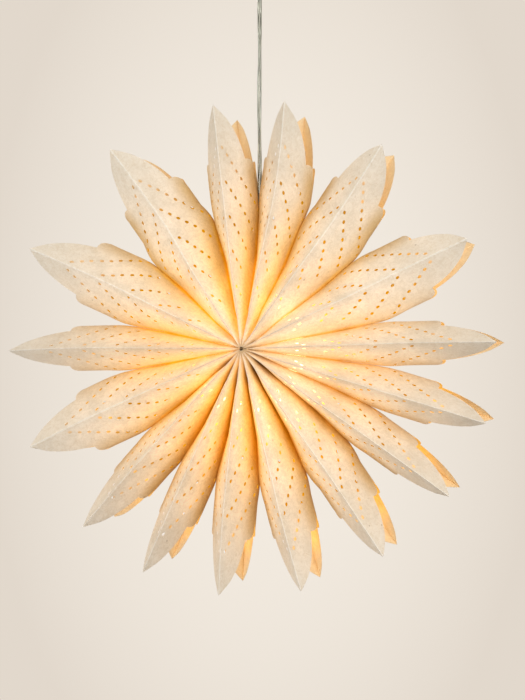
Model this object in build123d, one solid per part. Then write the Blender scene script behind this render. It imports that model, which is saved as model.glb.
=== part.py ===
"""Moravian star pendant: sixteen folded paper rays round a small lamp, on a cord below a ceiling cup.

Millimetres, +Z up. The origin is the middle of the ceiling face. The star faces -Y, and its rays are
numbered clockwise as seen from the front, starting just left of the cord.
"""

import math
import os

from build123d import *

# ---- the paper star ----
STAR_RADIUS = 300.0  # from the star's centre to the tip of each ray
STAR_DROP = 520.0  # the star's centre below the ceiling
STAR_SHIFT = -7.0  # the star's centre, left of the cord, so that the uneven fan hangs plumb
PAPER = 0.3  # paper wall
BAG_HALF = 68.0  # paper from a crease to the line halfway to the other crease
RAY_OPENINGS = [20, 19, 28, 29, 19, 18, 18, 23, 21, 19, 17, 20, 27, 20, 29, 33]  # degrees, one per ray
SEAM_ANGLE = 2.5  # the seam between rays 1 and 2, clockwise from straight up
SEAM_RAYS = (0, 1)  # places in that list of the two rays either side of the seam
GLUE_GAP = 0.1  # from a ray's wall to the plane where it meets its neighbour
STACK_RADIUS = 5.0  # inner ends of the folds, round the small hole in the middle
PART_START = 150.0  # from here outwards two neighbours curve apart
PART_END = 190.0  # from here outwards a ray keeps its width
TURN_SHARE = 0.15  # share of a panel's depth over which it turns to run beside its neighbour
GLUE_STRIP = 4.0  # half the strip at mid-depth where a ray's wall lies flat beside its neighbour's
GLUE_STRIP_END = 110.0  # from here outwards the strip is that narrow; inwards it widens round the lamp
BULGE = 1.07  # how much a wall bows, counted on the square of the half width

# The mouth's cut, as (back from the tip, out from the crease) on the flat paper.
LEAF_EDGE = [(0.0, 0.0), (34.0, 33.0), (65.0, 46.0)]
LOBE_EDGE = [(66.0, 52.0), (72.0, 60.0), (85.0, 66.0)]
VALLEY_BACK = 100.0  # the cut's lowest point, at mid-depth

# ---- the space for the lamp ----
CAVITY_RADIUS = 70.0
CAVITY_HALF_DEPTH = 32.0
CAVITY_CORNER = 20.0
CAVITY_RIM = 4.0  # flat paper left round the lamp's space, where the rays are glued face to face

# ---- the cord ----
CORD_DIAMETER = 5.6
CORD_GAP = 0.3

# ---- the seam's closure pads ----
PAD_DISTANCE = 90.0  # from the star's centre to the middle of a pad
PAD_LENGTH = 16.0
PAD_WIDTH = 8.0
PAD_THICKNESS = 1.0
PAD_OFFSET = 5.0  # nearest edge of a pad, in front of or behind the cord's line
PAD_GAP = 0.1  # between the two pads of a pair, and from a pad to its wall

# ---- the lamp holder, which hangs below the cut-out edges of the upper rays ----
LAMP_HEADROOM = 1.4  # from the grip nut's top to the top of the lamp's space
SHELL_HEIGHT = 30.0
SHELL_RADIUS = 14.0
SHELL_WALL = 1.2
CAP_HEIGHT = 24.0
CAP_WALL = 1.8
CAP_TOP_RADIUS = 7.5
NIPPLE_RADIUS = 4.9
NIPPLE_HEIGHT = 10.0
NUT_RADIUS = 7.0
NUT_HEIGHT = 11.0
NUT_TOP = 2.5
NUT_RIBS = 12
THREAD_GAP = 0.1
CLAMP_SCREW_RADIUS = 1.5
CLAMP_SCREW_LENGTH = 5.0
CORE_HEIGHT = 25.0
CORE_FLOOR = 6.0
SLEEVE_WALL = 0.5
SLEEVE_LENGTH = 19.0
CONTACT_RADIUS = 2.6
CONTACT_THICKNESS = 0.8
LEAD_RADIUS = 0.9
LEAD_SPREAD = 6.0
TERMINAL_SCREW_RADIUS = 1.6
TERMINAL_SCREW_HEIGHT = 3.0
SLOT_WIDTH = 0.5  # screwdriver slot of a small screw
SLOT_DEPTH = 0.5

# ---- the wire carrier ----
WIRE_RADIUS = 1.2
WIRE_HALF_DEPTH = 10.0
WIRE_ARC = 38.0  # degrees either side of straight up
COLLAR_RADIUS = 12.0
COLLAR_THICKNESS = 1.5

# ---- the bulb ----
CAP_THREAD_RADIUS = 6.95
CAP_THREAD_PITCH = 2.82
CAP_THREAD_DEPTH = 0.5
CAP_THREADS = 5
BULB_GAP = 0.2  # between the bulb's screw cap and the sleeve
BULB_RADIUS = 22.5
BULB_LENGTH = 47.0  # from the holder's mouth to the bulb's far end
GLASS_WALL = 0.8
NECK_RADIUS = 8.5
SKIRT_DROP = 1.0  # the screw cap's edge, below the holder's mouth
SKIRT_FLARE = 3.0  # height over which the screw cap widens to the glass neck
GLASS_JOIN = 38.0  # degrees from the bulb's axis to where the ball meets its shoulder
GLASS_PULL = 4.0  # how far the shoulder follows the ball's slope
INSULATOR_HEIGHT = 2.2
PIP_RADIUS = 2.2
PIP_HEIGHT = 1.2
STEM_RADIUS = 1.3
HUB_RADIUS = 6.0
HUB_THICKNESS = 1.0
HUB_DROP = 14.0  # the upper hub, below the screw cap
STEM_FOOT = 8.0  # height of the stem's flared foot
STEM_SEAT = 2.0  # how far the stem reaches up into the screw cap
FILAMENT_RADIUS = 0.9
FILAMENT_LENGTH = 20.0
FILAMENT_COUNT = 4

# ---- the ceiling cup ----
CUP_RADIUS = 45.0
CUP_HEIGHT = 55.0
CUP_WALL = 2.0
CUP_SHOULDER = 16.0
GRIP_RADIUS = 5.0
GRIP_FLANGE_RADIUS = 8.5
GRIP_FLANGE = 3.0
GRIP_NUT_RADIUS = 9.0
GRIP_NUT_HEIGHT = 6.0
GRIP_NOSE = 5.0
BRACKET_WIDTH = 16.0
BRACKET_THICKNESS = 1.5
BRACKET_DROP = 14.0
BRACKET_HOLE_SPACING = 60.0
BRACKET_HOLE_RADIUS = 2.5
SIDE_SCREW_RADIUS = 1.5
SIDE_SCREW_HEAD = 3.0
SIDE_SCREW_DOME = 1.6  # height of the head
SIDE_SCREW_HEIGHT = 9.0  # below the ceiling
BLOCK_LENGTH = 24.0
BLOCK_WIDTH = 15.0
BLOCK_HEIGHT = 13.0
BLOCK_TUBE_RADIUS = 2.6
BLOCK_TUBE_WALL = 0.8
BLOCK_SCREW_RADIUS = 1.5
BLOCK_STRAP = 2.0  # tongue that hangs the block from the bracket
BLOCK_ROOF = 1.0  # plastic above a terminal's tube
BLOCK_CORNER = 1.5
TAIL_TOP = -36.0  # where the cord's jacket ends inside the cup

cord_radius = CORD_DIAMETER / 2
cord_bore = cord_radius + CORD_GAP
star_centre = Vector(STAR_SHIFT, 0, -STAR_DROP)
exit_z = -CUP_HEIGHT - GRIP_NUT_HEIGHT - GRIP_NOSE
nut_top_z = CAVITY_RADIUS - STAR_DROP - LAMP_HEADROOM
nut_z = nut_top_z - NUT_HEIGHT
cap_top_z = nut_z - COLLAR_THICKNESS - THREAD_GAP
shell_top_z = cap_top_z - CAP_HEIGHT
mouth_z = shell_top_z - SHELL_HEIGHT

os.makedirs("parts", exist_ok=True)
parts = {}


def keep(name, shape, colour=None):
    """Keeps a finished piece under its node name."""
    shape.label = name
    if colour:
        shape.color = Color(*colour)
    parts[name] = shape


def tube(outer, inner, low, high, x=0.0, y=0.0):
    """An upright round tube between two heights."""
    place = Pos(x, y, (low + high) / 2)
    return place * (Cylinder(outer, high - low) - Cylinder(inner, high - low + 1))


def rod(radius, low, high, x=0.0, y=0.0):
    """An upright round rod between two heights."""
    return Pos(x, y, (low + high) / 2) * Cylinder(radius, high - low)


def bar(start, end, radius):
    """A straight round bar between two points."""
    start, end = Vector(*start), Vector(*end)
    along = end - start
    place = Plane(origin=start, z_dir=along).location
    return place * Pos(0, 0, along.length / 2) * Cylinder(radius, along.length)


# ---------------------------------------------------------------- paper rays


def fan_angles():
    """Where each ray starts and ends, in degrees clockwise from straight up."""
    share = 360 / sum(RAY_OPENINGS)
    angle = SEAM_ANGLE - RAY_OPENINGS[0] * share
    found = []
    for opening in RAY_OPENINGS:
        found.append((angle, angle + opening * share))
        angle += opening * share
    return found


def half_width(distance, slope):
    """Half the width of a ray at a distance from the centre: wedge-shaped, then parallel."""
    if distance <= PART_START:
        return distance * slope
    if distance >= PART_END:
        return slope * (PART_START + PART_END) / 2
    past = distance - PART_START
    return slope * (distance - past * past / (2 * (PART_END - PART_START)))


def flat_strip(distance):
    """How far in front of and behind mid-depth a ray's wall lies flat beside its neighbour's."""
    wide = CAVITY_HALF_DEPTH + CAVITY_RIM
    corner_start = CAVITY_RADIUS - CAVITY_CORNER
    at_end = CAVITY_HALF_DEPTH - CAVITY_CORNER / 2 + CAVITY_RIM / 2
    if distance <= corner_start:
        return wide
    if distance <= CAVITY_RADIUS:
        return wide + (at_end - wide) * (distance - corner_start) / CAVITY_CORNER
    if distance >= GLUE_STRIP_END:
        return GLUE_STRIP
    return at_end + (GLUE_STRIP - at_end) * (distance - CAVITY_RADIUS) / (GLUE_STRIP_END - CAVITY_RADIUS)


def half_depth(half, strip):
    """Half the depth of a ray that is this wide, with the same paper round its wall."""
    return strip + math.sqrt((BAG_HALF - strip) ** 2 - BULGE * half**2)


def section(half, deep, strip, distance):
    """A bag's outline across the ray: two creases, and walls that turn to lie beside the neighbours."""
    turn = strip + TURN_SHARE * (deep - strip)
    front, back = (0, -deep), (0, deep)
    edges = [
        Bezier(front, (half, -turn), (half, -strip)),
        Line((half, -strip), (half, strip)),
        Bezier((half, strip), (half, turn), back),
        Bezier(back, (-half, turn), (-half, strip)),
        Line((-half, strip), (-half, -strip)),
        Bezier((-half, -strip), (-half, -turn), front),
    ]
    return Pos(0, 0, distance) * make_face(Wire(edges))


def bag(slope, wall=0.0):
    """The solid inside a ray's outer surface, or inside its inner surface when wall is over 0."""
    corner_start = CAVITY_RADIUS - CAVITY_CORNER
    curve_step = (PART_END - PART_START) / 3
    distances = [STACK_RADIUS, corner_start, CAVITY_RADIUS, GLUE_STRIP_END, PART_START]
    distances += [PART_START + curve_step, PART_START + 2 * curve_step, PART_END, STAR_RADIUS]
    sections = []
    for distance in distances:
        half = half_width(distance, slope) - GLUE_GAP
        strip = flat_strip(distance)
        deep = half_depth(half, strip)
        lean = (1 - TURN_SHARE) * (deep - strip) / half
        inner_deep = deep - wall * math.sqrt(1 + lean * lean)
        sections.append(section(half - wall, inner_deep, strip, distance))
    return loft(sections, ruled=True)


def wall_depth(half, out):
    """The depth reached on the mouth's wall by going a length of paper out from its crease."""
    deep = half_depth(half, GLUE_STRIP)
    turn = GLUE_STRIP + TURN_SHARE * (deep - GLUE_STRIP)
    steps = 100
    last, gone = (0.0, -deep), 0.0
    if out <= gone:
        return -deep
    for i in range(1, steps + 1):
        t = i / steps
        here = (
            2 * t * (1 - t) * half + t * t * half,
            -((1 - t) ** 2) * deep - 2 * t * (1 - t) * turn - t * t * GLUE_STRIP,
        )
        gone += math.dist(last, here)
        if gone >= out:
            return here[1]
        last = here
    return -max(0.0, GLUE_STRIP - (out - gone))


def mouth_cutter(slope):
    """What the mouth's cut takes away: everything beyond the leaf, the notch and the lobe, front and back."""
    half = half_width(STAR_RADIUS, slope) - GLUE_GAP
    deep = half_depth(half, GLUE_STRIP)
    leaf = [(wall_depth(half, out), STAR_RADIUS - down) for down, out in LEAF_EDGE]
    lobe = [(wall_depth(half, out), STAR_RADIUS - down) for down, out in LOBE_EDGE]
    valley = (0.0, STAR_RADIUS - VALLEY_BACK)
    above = STAR_RADIUS + 2
    edges = [Line((-(deep + 1), above), (deep + 1, above))]
    for side in (1, -1):
        leaf_points = [(side * y, s) for y, s in leaf]
        lobe_points = [(side * y, s) for y, s in [*lobe, valley]]
        edges += [
            Line((-side * (deep + 1), above), leaf_points[0]),
            ThreePointArc(*leaf_points),
            Line(leaf_points[-1], lobe_points[0]),
            *Polyline(*lobe_points).edges(),
        ]
    face = Plane.YZ * make_face(Wire(edges))
    return extrude(face, STAR_RADIUS / 4, both=True)


def cavity_cutter():
    """The lamp's space, cut out of each ray's inner end."""
    face = Rectangle(2 * CAVITY_HALF_DEPTH, 2 * CAVITY_RADIUS)
    face = fillet(face.vertices(), CAVITY_CORNER)
    return extrude(Plane.YZ * face, STAR_RADIUS / 4, both=True)


def ray_location(middle):
    """A ray's own frame: Z along the ray, X across it clockwise, Y towards the back."""
    turn = math.radians(middle)
    along = Vector(math.sin(turn), 0, math.cos(turn))
    across = Vector(math.cos(turn), 0, -math.sin(turn))
    return Plane(origin=star_centre, x_dir=across, z_dir=along).location


def seam_dents(wall):
    """What presses into the walls beside the seam: the cord on its way out, and the closure pads."""
    reach = cord_bore + wall
    length = STAR_RADIUS - CAVITY_RADIUS / 2
    dents = Pos(0, 0, -STAR_DROP + STAR_RADIUS - length / 2) * Box(2 * reach, 2 * reach, length)
    thick = PAD_THICKNESS + 1.5 * PAD_GAP + wall
    edge = PAD_GAP + wall
    for toward in (-1, 1):
        recess = Box(2 * thick, PAD_WIDTH + 2 * edge, PAD_LENGTH + 2 * edge)
        middle = toward * (PAD_OFFSET + PAD_WIDTH / 2)
        dents += ray_location(SEAM_ANGLE) * Pos(0, middle, PAD_DISTANCE) * recess
    return dents


def make_rays():
    """The sixteen paper rays. The two at the seam are dented by the cord and the pads."""
    for i, (low, high) in enumerate(fan_angles()):
        slope = math.tan(math.radians((high - low) / 2))
        place = ray_location((low + high) / 2)
        outer = place * bag(slope)
        inner = place * bag(slope, PAPER)
        if i in SEAM_RAYS:
            outer -= seam_dents(0.0)
            inner -= seam_dents(PAPER)
        ray = outer - inner - place * mouth_cutter(slope) - place * cavity_cutter()
        keep(f"ray_{i + 1:02d}", ray, (0.96, 0.88, 0.74))


def make_seam_pads():
    """Two pairs of closure pads, in front of and behind the cord, one of each pair on either ray."""
    for name, side in (("seam_pad_loop", -1), ("seam_pad_hook", 1)):
        for where, toward in (("front", -1), ("back", 1)):
            across = side * (PAD_THICKNESS + PAD_GAP) / 2
            middle = toward * (PAD_OFFSET + PAD_WIDTH / 2)
            pad = Box(PAD_THICKNESS, PAD_WIDTH, PAD_LENGTH)
            pad = ray_location(SEAM_ANGLE) * Pos(across, middle, PAD_DISTANCE) * pad
            keep(f"{name}_{where}", pad, (0.95, 0.95, 0.93))


# ---------------------------------------------------------------- lamp holder and carrier


def make_holder():
    """The lamp holder, from its shell up to the nut that grips the cord."""
    inner = SHELL_RADIUS - SHELL_WALL
    shell = tube(SHELL_RADIUS, inner, mouth_z, shell_top_z)
    shell += tube(SHELL_RADIUS - SHELL_WALL / 2, inner - SHELL_WALL, mouth_z, mouth_z + SHELL_WALL)
    shell = fillet(shell.edges().group_by(Axis.Z)[0].filter_by(GeomType.CIRCLE).sort_by(SortBy.RADIUS)[-1], 0.5)
    keep("lamp_holder_shell", shell, (0.95, 0.95, 0.93))

    shoulder = cap_top_z - CAP_HEIGHT / 3
    with_walls = []
    for wall in (0.0, CAP_WALL):
        low = shell_top_z + THREAD_GAP - (1 if wall else 0)
        outline = [
            (0, low),
            (SHELL_RADIUS - wall, low),
            (SHELL_RADIUS - wall, shoulder - CAP_HEIGHT / 6),
            (CAP_TOP_RADIUS - wall / 2, cap_top_z - wall),
            (0, cap_top_z - wall),
        ]
        profile = Plane.XZ * make_face(Polyline(*outline, close=True))
        with_walls.append(revolve(profile, Axis.Z))
    cap = with_walls[0] - with_walls[1]
    cap += rod(NIPPLE_RADIUS, cap_top_z - CAP_WALL, cap_top_z + NIPPLE_HEIGHT)
    cap -= rod(cord_bore, cap_top_z - CAP_HEIGHT, cap_top_z + NIPPLE_HEIGHT + 1)
    screw_z = nut_z + NUT_HEIGHT / 2
    screw_hole = bar((cord_radius, 0, screw_z), (2 * NUT_RADIUS, 0, screw_z), CLAMP_SCREW_RADIUS + THREAD_GAP)
    keep("lamp_holder_cap", cap - screw_hole, (0.95, 0.95, 0.93))

    nut = tube(NUT_RADIUS, NIPPLE_RADIUS + THREAD_GAP, nut_z, nut_top_z - NUT_TOP)
    nut += tube(NUT_RADIUS, cord_bore, nut_top_z - NUT_TOP, nut_top_z)
    nut = chamfer(nut.faces().sort_by(Axis.Z)[-1].outer_wire().edges(), NUT_TOP / 2)
    groove = Pos(NUT_RADIUS, 0, nut_z + NUT_HEIGHT / 2 - NUT_TOP) * Cylinder(0.5, NUT_HEIGHT)
    for i in range(NUT_RIBS):
        nut -= Rot(0, 0, (i + 0.5) * 360 / NUT_RIBS) * groove
    keep("cord_grip_nut", nut - screw_hole, (0.95, 0.95, 0.93))

    tip = cord_radius + THREAD_GAP
    screw = bar((tip, 0, screw_z), (tip + CLAMP_SCREW_LENGTH, 0, screw_z), CLAMP_SCREW_RADIUS)
    slot = Pos(tip + CLAMP_SCREW_LENGTH, 0, screw_z) * Box(2 * SLOT_DEPTH, 2 * CLAMP_SCREW_RADIUS, SLOT_WIDTH)
    keep("cord_grip_screw", screw - slot, (0.8, 0.8, 0.8))


def make_holder_inside():
    """What the holder's shell and cap hide: insulating core, threaded sleeve, contacts, screws and leads."""
    sleeve_outer = CAP_THREAD_RADIUS + BULB_GAP + SLEEVE_WALL
    core_low = shell_top_z - CORE_HEIGHT
    floor_z = shell_top_z - CORE_FLOOR
    core_radius = SHELL_RADIUS - SHELL_WALL - THREAD_GAP
    core = rod(core_radius, core_low, shell_top_z)
    core -= rod(sleeve_outer + THREAD_GAP, core_low - 1, floor_z)
    keep("holder_core", core, (0.9, 0.9, 0.88))

    sleeve = tube(sleeve_outer, sleeve_outer - SLEEVE_WALL, floor_z - SLEEVE_LENGTH, floor_z - THREAD_GAP)
    keep("holder_screw_sleeve", sleeve, (0.85, 0.7, 0.35))

    contact_low = floor_z - CONTACT_THICKNESS - THREAD_GAP
    contact = rod(CONTACT_RADIUS, contact_low, floor_z - THREAD_GAP)
    keep("holder_centre_contact", contact, (0.85, 0.7, 0.35))

    screws = None
    leads = None
    for side in (1, -1):
        x = side * LEAD_SPREAD
        screw = rod(TERMINAL_SCREW_RADIUS, shell_top_z, shell_top_z + TERMINAL_SCREW_HEIGHT, x)
        slot = Box(3 * TERMINAL_SCREW_RADIUS, SLOT_WIDTH, 2 * SLOT_DEPTH)
        screw -= Pos(x, 0, shell_top_z + TERMINAL_SCREW_HEIGHT) * slot
        screws = screw if screws is None else screws + screw
        top = (side * (LEAD_RADIUS + THREAD_GAP), 0, cap_top_z - CAP_WALL - LEAD_RADIUS / 2)
        end = (x, 0, shell_top_z + TERMINAL_SCREW_HEIGHT + LEAD_RADIUS + THREAD_GAP)
        lead = bar(top, end, LEAD_RADIUS)
        leads = lead if leads is None else leads + lead
    keep("holder_terminal_screws", screws, (0.8, 0.7, 0.4))
    keep("holder_leads", leads, (0.8, 0.45, 0.25))


def make_carrier():
    """The formed wire that rests on the holder's cap and carries the upper rays' cut-out edges."""
    wire_reach = CAVITY_RADIUS - WIRE_RADIUS - GLUE_GAP * 3
    collar_low = cap_top_z + THREAD_GAP / 2
    collar = tube(COLLAR_RADIUS, NIPPLE_RADIUS + THREAD_GAP, collar_low, collar_low + COLLAR_THICKNESS)
    frame = collar
    ends = [-WIRE_ARC, WIRE_ARC]
    points = [
        star_centre + Vector(math.sin(math.radians(a)), 0, math.cos(math.radians(a))) * wire_reach
        for a in (ends[0], 0, ends[1])
    ]
    top_z = math.sqrt(wire_reach**2 - STAR_SHIFT**2) - STAR_DROP
    for y in (-WIRE_HALF_DEPTH, WIRE_HALF_DEPTH):
        arc = ThreePointArc(*[p + Vector(0, y, 0) for p in points])
        frame += sweep(Plane(origin=arc @ 0, z_dir=arc % 0) * Circle(WIRE_RADIUS), path=arc)
        foot = (0, math.copysign(COLLAR_RADIUS - WIRE_RADIUS, y), collar_low + COLLAR_THICKNESS / 2)
        frame += bar(foot, (0, y, top_z), WIRE_RADIUS)
        for p in (points[0], points[-1]):
            frame += Pos(*(p + Vector(0, y, 0))) * Sphere(WIRE_RADIUS)
    for p in (points[0], points[-1]):
        frame += Pos(*p) * Rot(90, 0, 0) * Cylinder(WIRE_RADIUS, 2 * WIRE_HALF_DEPTH)
    keep("star_carrier", frame, (0.8, 0.8, 0.82))


# ---------------------------------------------------------------- bulb


def make_bulb():
    """The lamp bulb, screwed home. It points down, and its contact meets the holder's."""
    contact_z = shell_top_z - CORE_FLOOR - CONTACT_THICKNESS - 2 * THREAD_GAP
    cap_top = contact_z - PIP_HEIGHT - INSULATOR_HEIGHT
    cap_low = cap_top - CAP_THREADS * CAP_THREAD_PITCH
    skirt_low = mouth_z - SKIRT_DROP
    keep("bulb_contact", rod(PIP_RADIUS, contact_z - PIP_HEIGHT, contact_z), (0.8, 0.8, 0.8))
    insulator = Pos(0, 0, cap_top + INSULATOR_HEIGHT / 2) * Cone(
        CAP_THREAD_RADIUS - 1, PIP_RADIUS + 0.5, INSULATOR_HEIGHT
    )
    keep("bulb_insulator", insulator, (0.1, 0.1, 0.1))

    root = CAP_THREAD_RADIUS - CAP_THREAD_DEPTH
    outline = [(0, cap_top), (root, cap_top)]
    for i in range(CAP_THREADS):
        high = cap_top - i * CAP_THREAD_PITCH
        outline += [
            (CAP_THREAD_RADIUS, high - 0.35 * CAP_THREAD_PITCH),
            (CAP_THREAD_RADIUS, high - 0.65 * CAP_THREAD_PITCH),
            (root, high - CAP_THREAD_PITCH),
        ]
    outline += [(root, skirt_low + SKIRT_FLARE), (NECK_RADIUS, skirt_low), (0, skirt_low)]
    inside = rod(root - SLEEVE_WALL, skirt_low - 1, cap_top - SLEEVE_WALL)
    screw_cap = revolve(Plane.XZ * make_face(Polyline(*outline, close=True)), Axis.Z) - inside
    keep("bulb_screw_cap", screw_cap, (0.75, 0.75, 0.75))

    far_z = mouth_z - BULB_LENGTH
    ball_z = far_z + BULB_RADIUS
    envelopes = []
    for wall in (0.0, GLASS_WALL):
        radius = BULB_RADIUS - wall
        neck = NECK_RADIUS - wall
        neck_z = skirt_low - THREAD_GAP
        join = math.radians(GLASS_JOIN)
        join_point = (radius * math.sin(join), ball_z + radius * math.cos(join))
        side_point = (radius, ball_z)
        low_point = (radius * math.sin(join), ball_z - radius * math.cos(join))
        ball = ThreePointArc(join_point, side_point, low_point)
        tip = ThreePointArc(
            low_point,
            (radius * math.sin(join / 2), ball_z - radius * math.cos(join / 2)),
            (0, ball_z - radius),
        )
        shoulder = Bezier(
            (neck, neck_z),
            (neck, (neck_z + join_point[1]) / 2),
            (
                join_point[0] - GLASS_PULL * math.cos(join),
                join_point[1] + GLASS_PULL * math.sin(join),
            ),
            join_point,
        )
        top = neck_z + (1 if wall else 0)
        rim = Line((0, top), (neck, top))
        edges = [rim, shoulder, ball, tip, Line((0, ball_z - radius), (0, top))]
        if wall:
            edges.append(Line((neck, top), (neck, neck_z)))
        envelopes.append(revolve(Plane.XZ * make_face(Wire(edges)), Axis.Z))
    keep("bulb_glass", envelopes[0] - envelopes[1], (0.95, 0.95, 0.9))

    upper_hub = skirt_low - HUB_DROP
    lower_hub = upper_hub - HUB_THICKNESS - FILAMENT_LENGTH
    stem = rod(STEM_RADIUS, lower_hub - HUB_THICKNESS, skirt_low + STEM_SEAT)
    foot = Cone(STEM_RADIUS, root - 2 * SLEEVE_WALL, STEM_FOOT)
    stem += Pos(0, 0, skirt_low + STEM_SEAT - STEM_FOOT / 2) * foot
    for low in (upper_hub - HUB_THICKNESS, lower_hub - HUB_THICKNESS):
        stem += rod(HUB_RADIUS, low, low + HUB_THICKNESS)
    keep("bulb_stem", stem, (0.9, 0.9, 0.9))

    filaments = None
    for i in range(FILAMENT_COUNT):
        angle = math.radians((i + 0.5) * 360 / FILAMENT_COUNT)
        reach = HUB_RADIUS - 1.5 * FILAMENT_RADIUS
        x, y = reach * math.cos(angle), reach * math.sin(angle)
        filament = rod(FILAMENT_RADIUS, lower_hub, lower_hub + FILAMENT_LENGTH, x, y)
        filaments = filament if filaments is None else filaments + filament
    keep("bulb_filaments", filaments, (1.0, 0.8, 0.3))


# ---------------------------------------------------------------- cord


def make_cord():
    """The taut cord, from its pivot in the cup's nose down into the holder's grip."""
    low = cap_top_z - CAP_WALL + THREAD_GAP
    cord = rod(cord_radius, low, exit_z) + Pos(0, 0, exit_z) * Sphere(cord_radius)
    keep("pendant_cord", cord, (0.8, 0.8, 0.8))
    length = exit_z - low
    section_area = math.pi * cord_radius**2
    print("cord: straight, length", round(length, 1))
    print("cord: volume", round(cord.volume), "of", round(section_area * length))


# ---------------------------------------------------------------- ceiling cup


def make_cup():
    """The ceiling cup, its bracket and screws, and the grip that holds the cord."""
    shells = []
    for wall in (0.0, CUP_WALL):
        radius = CUP_RADIUS - wall
        bottom = -CUP_HEIGHT + wall
        shoulder = CUP_SHOULDER
        top = wall / 2
        edges = [
            Line((0, top), (radius, top)),
            Line((radius, top), (radius, bottom + shoulder)),
            ThreePointArc(
                (radius, bottom + shoulder),
                (radius - shoulder * (1 - math.sqrt(0.5)), bottom + shoulder * (1 - math.sqrt(0.5))),
                (radius - shoulder, bottom),
            ),
            Line((radius - shoulder, bottom), (0, bottom)),
            Line((0, bottom), (0, top)),
        ]
        shells.append(revolve(Plane.XZ * make_face(Wire(edges)), Axis.Z))
    cup = shells[0] - shells[1] - rod(GRIP_RADIUS + THREAD_GAP, -CUP_HEIGHT - 1, 0)
    side_hole = Pos(0, 0, -SIDE_SCREW_HEIGHT) * Rot(0, 90, 0) * Cylinder(
        SIDE_SCREW_RADIUS + THREAD_GAP, 2 * CUP_RADIUS + 2
    )
    keep("ceiling_cup", cup - side_hole, (0.97, 0.97, 0.96))

    inside = CUP_RADIUS - CUP_WALL - CORD_GAP
    reach = math.sqrt(inside**2 - (BRACKET_WIDTH / 2) ** 2)
    strap = Pos(0, 0, -BRACKET_THICKNESS / 2) * Box(2 * reach, BRACKET_WIDTH, BRACKET_THICKNESS)
    for side in (1, -1):
        ear = Box(BRACKET_THICKNESS, BRACKET_WIDTH, BRACKET_DROP)
        strap += Pos(side * (reach - BRACKET_THICKNESS / 2), 0, -BRACKET_DROP / 2) * ear
        hole = Cylinder(BRACKET_HOLE_RADIUS, 4 * BRACKET_THICKNESS)
        strap -= Pos(side * BRACKET_HOLE_SPACING / 2, 0, 0) * hole
    keep("ceiling_bracket", strap - side_hole, (0.75, 0.75, 0.78))

    length = CUP_RADIUS - reach + BRACKET_THICKNESS
    screws = None
    for side in (1, -1):
        shank = Rot(0, 90, 0) * Cylinder(SIDE_SCREW_RADIUS, length)
        screw = Pos(side * (CUP_RADIUS - length / 2), 0, -SIDE_SCREW_HEIGHT) * shank
        head = Rot(0, side * 90, 0) * Cone(SIDE_SCREW_HEAD, SIDE_SCREW_HEAD * 0.7, SIDE_SCREW_DOME)
        slot = Box(2 * SLOT_DEPTH, 2 * SIDE_SCREW_HEAD, SLOT_WIDTH)
        screw += Pos(side * (CUP_RADIUS + SIDE_SCREW_DOME / 2), 0, -SIDE_SCREW_HEIGHT) * head
        screw -= Pos(side * (CUP_RADIUS + SIDE_SCREW_DOME), 0, -SIDE_SCREW_HEIGHT) * slot
        screws = screw if screws is None else screws + screw
    keep("cup_side_screws", screws, (0.8, 0.8, 0.8))


def make_cup_grip():
    """The cord grip in the cup's floor, and the cord's tail inside the cup."""
    floor_z = -CUP_HEIGHT + CUP_WALL
    outside = -CUP_HEIGHT
    body = tube(GRIP_RADIUS, cord_bore, outside - GRIP_NUT_HEIGHT + 1, floor_z + GRIP_FLANGE)
    body += tube(GRIP_FLANGE_RADIUS, cord_bore, floor_z + THREAD_GAP / 2, floor_z + GRIP_FLANGE)
    keep("cup_grip_body", body, (0.9, 0.9, 0.9))

    nut = tube(GRIP_NUT_RADIUS, cord_bore, outside - GRIP_NUT_HEIGHT, outside - THREAD_GAP / 2)
    nose_place = Pos(0, 0, outside - GRIP_NUT_HEIGHT - GRIP_NOSE / 2)
    nut += nose_place * Cone(cord_bore + 1.6, GRIP_NUT_RADIUS - 1, GRIP_NOSE)
    nut -= rod(cord_bore, exit_z - 1, outside)
    nut -= rod(GRIP_RADIUS + THREAD_GAP, outside - GRIP_NUT_HEIGHT + 1 - THREAD_GAP, outside)
    keep("cup_grip_nut", nut, (0.9, 0.9, 0.9))

    tail_low = exit_z + cord_radius + THREAD_GAP * 2
    keep("cord_tail", rod(cord_radius, tail_low, TAIL_TOP), (0.8, 0.8, 0.8))


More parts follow.
